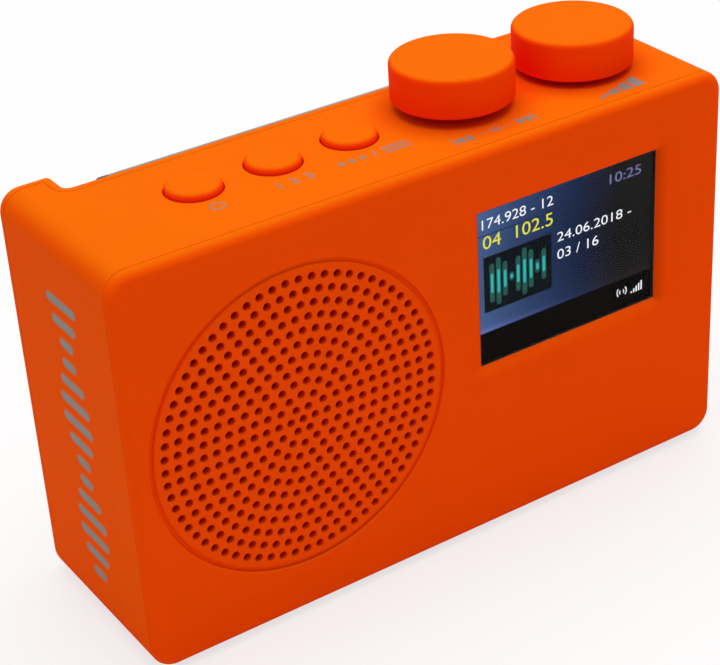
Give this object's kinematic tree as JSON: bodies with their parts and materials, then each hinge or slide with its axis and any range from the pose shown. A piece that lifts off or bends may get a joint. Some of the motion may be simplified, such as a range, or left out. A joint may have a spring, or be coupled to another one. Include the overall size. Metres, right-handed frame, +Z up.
{
  "type": "portable digital radio",
  "caption": "Box-shaped portable radio with a round perforated speaker grille, a recessed display, top buttons and knobs, and a telescopic antenna in a rear trough.",
  "frame": {"origin": "on the ground under the middle of the case", "axes": "+X to the radio's right as seen from its front, +Y from the front to the back, +Z up; the front faces -Y"},
  "size_m": [0.18, 0.06, 0.1251],
  "materials": {
    "shell_orange": "satin soft-touch paint",
    "front_orange": "satin soft-touch paint",
    "grille_orange": "satin soft-touch paint",
    "control_orange": "satin",
    "cloth": "woven",
    "foam": "matt",
    "rubber": "matt",
    "inner_plastic": "matt",
    "lens": "gloss",
    "screen": "gloss",
    "board": "satin",
    "steel": "bright",
    "ferrite": "matt",
    "paper": "matt",
    "nickel": "bright",
    "cell_wrap": "gloss",
    "antenna_chrome": "polished",
    "antenna_cap": "satin"
  },
  "bodies": {
    "cabinet": {"front_panel": "front_orange", "case_shell": "shell_orange", "rear_cover": "shell_orange", "speaker_grille": "grille_orange", "grille_cloth": "cloth", "speaker_gasket": "foam", "speaker_frame": "steel", "speaker_magnet": "ferrite", "speaker_cone": "paper", "speaker_dust_cap": "paper", "display_lens": "lens", "display_screen": "screen", "display_frame": "inner_plastic", "display_board": "board", "board_spacers": "nickel", "main_board": "board", "tuner_shield": "steel", "control_board": "board", "button_switches": "inner_plastic", "select_encoder": "inner_plastic", "volume_encoder": "inner_plastic", "encoder_nuts": "nickel", "jack_board": "board", "dc_jack": "inner_plastic", "headphone_jack": "inner_plastic", "battery_cells": "cell_wrap", "battery_contacts": "nickel", "rubber_feet": "rubber", "case_screws": "steel"},
    "power_button": {"button_power_cap": "control_orange", "button_power_plunger": "inner_plastic"},
    "list_button": {"button_list_cap": "control_orange", "button_list_plunger": "inner_plastic"},
    "menu_button": {"button_menu_cap": "control_orange", "button_menu_plunger": "inner_plastic"},
    "select_turn": {"select_rotor": "inner_plastic"},
    "select_control": {"select_shaft": "steel", "knob_select": "control_orange"},
    "volume_control": {"volume_shaft": "steel", "knob_volume": "control_orange"},
    "antenna_swivel": {"antenna_turret": "antenna_cap", "antenna_pin": "steel", "antenna_retainer": "steel"},
    "antenna_tube": {"antenna_section_1": "antenna_chrome"},
    "antenna_second": {"antenna_section_2": "antenna_chrome"},
    "antenna_third": {"antenna_section_3": "antenna_chrome"},
    "antenna_last": {"antenna_section_4": "antenna_chrome", "antenna_tip": "antenna_cap"},
    "battery_lid": {"battery_door": "shell_orange"}
  },
  "joints": [
    {"name": "power_press", "type": "slide", "parent": "cabinet", "child": "power_button", "axis": [0, 0, -1], "range_m": [0, 0.0006], "stiffness_N_per_m": 4000, "springref_m": -0.0003},
    {"name": "list_press", "type": "slide", "parent": "cabinet", "child": "list_button", "axis": [0, 0, -1], "range_m": [0, 0.0006], "stiffness_N_per_m": 4000, "springref_m": -0.0003},
    {"name": "menu_press", "type": "slide", "parent": "cabinet", "child": "menu_button", "axis": [0, 0, -1], "range_m": [0, 0.0006], "stiffness_N_per_m": 4000, "springref_m": -0.0003},
    {"name": "select_spin", "type": "hinge", "parent": "cabinet", "child": "select_turn", "pos_m": [0.023, -0.0027, 0.1056], "axis": [0, 0, 1], "continuous": true},
    {"name": "select_press", "type": "slide", "parent": "select_turn", "child": "select_control", "axis": [0, 0, -1], "range_m": [0, 0.0008], "stiffness_N_per_m": 4000, "springref_m": -0.0003},
    {"name": "volume_spin", "type": "hinge", "parent": "cabinet", "child": "volume_control", "pos_m": [0.0616, -0.0027, 0.1056], "axis": [0, 0, 1], "continuous": true},
    {"name": "antenna_swing", "type": "hinge", "parent": "cabinet", "child": "antenna_swivel", "pos_m": [0.044, 0.0216, 0.1025], "axis": [0, 0, -1], "range_deg": [0, 90]},
    {"name": "antenna_tilt", "type": "hinge", "parent": "antenna_swivel", "child": "antenna_tube", "pos_m": [0.044, 0.0216, 0.1065], "axis": [0, 1, 0], "range_deg": [0, 90]},
    {"name": "antenna_slide_2", "type": "slide", "parent": "antenna_tube", "child": "antenna_second", "axis": [-1, 0, 0], "range_m": [0, 0.075]},
    {"name": "antenna_slide_3", "type": "slide", "parent": "antenna_second", "child": "antenna_third", "axis": [-1, 0, 0], "range_m": [0, 0.075]},
    {"name": "antenna_slide_4", "type": "slide", "parent": "antenna_third", "child": "antenna_last", "axis": [-1, 0, 0], "range_m": [0, 0.075]},
    {"name": "door_hinge", "type": "hinge", "parent": "cabinet", "child": "battery_lid", "pos_m": [-0.008, 0.03, 0.0222], "axis": [-1, 0, 0], "range_deg": [0, 80]}
  ],
  "couplings": [
    {"joint": "antenna_slide_2", "follows": "antenna_tilt", "m_per_rad": 0.047746},
    {"joint": "antenna_slide_3", "follows": "antenna_tilt", "m_per_rad": 0.047746},
    {"joint": "antenna_slide_4", "follows": "antenna_tilt", "m_per_rad": 0.047746}
  ]
}
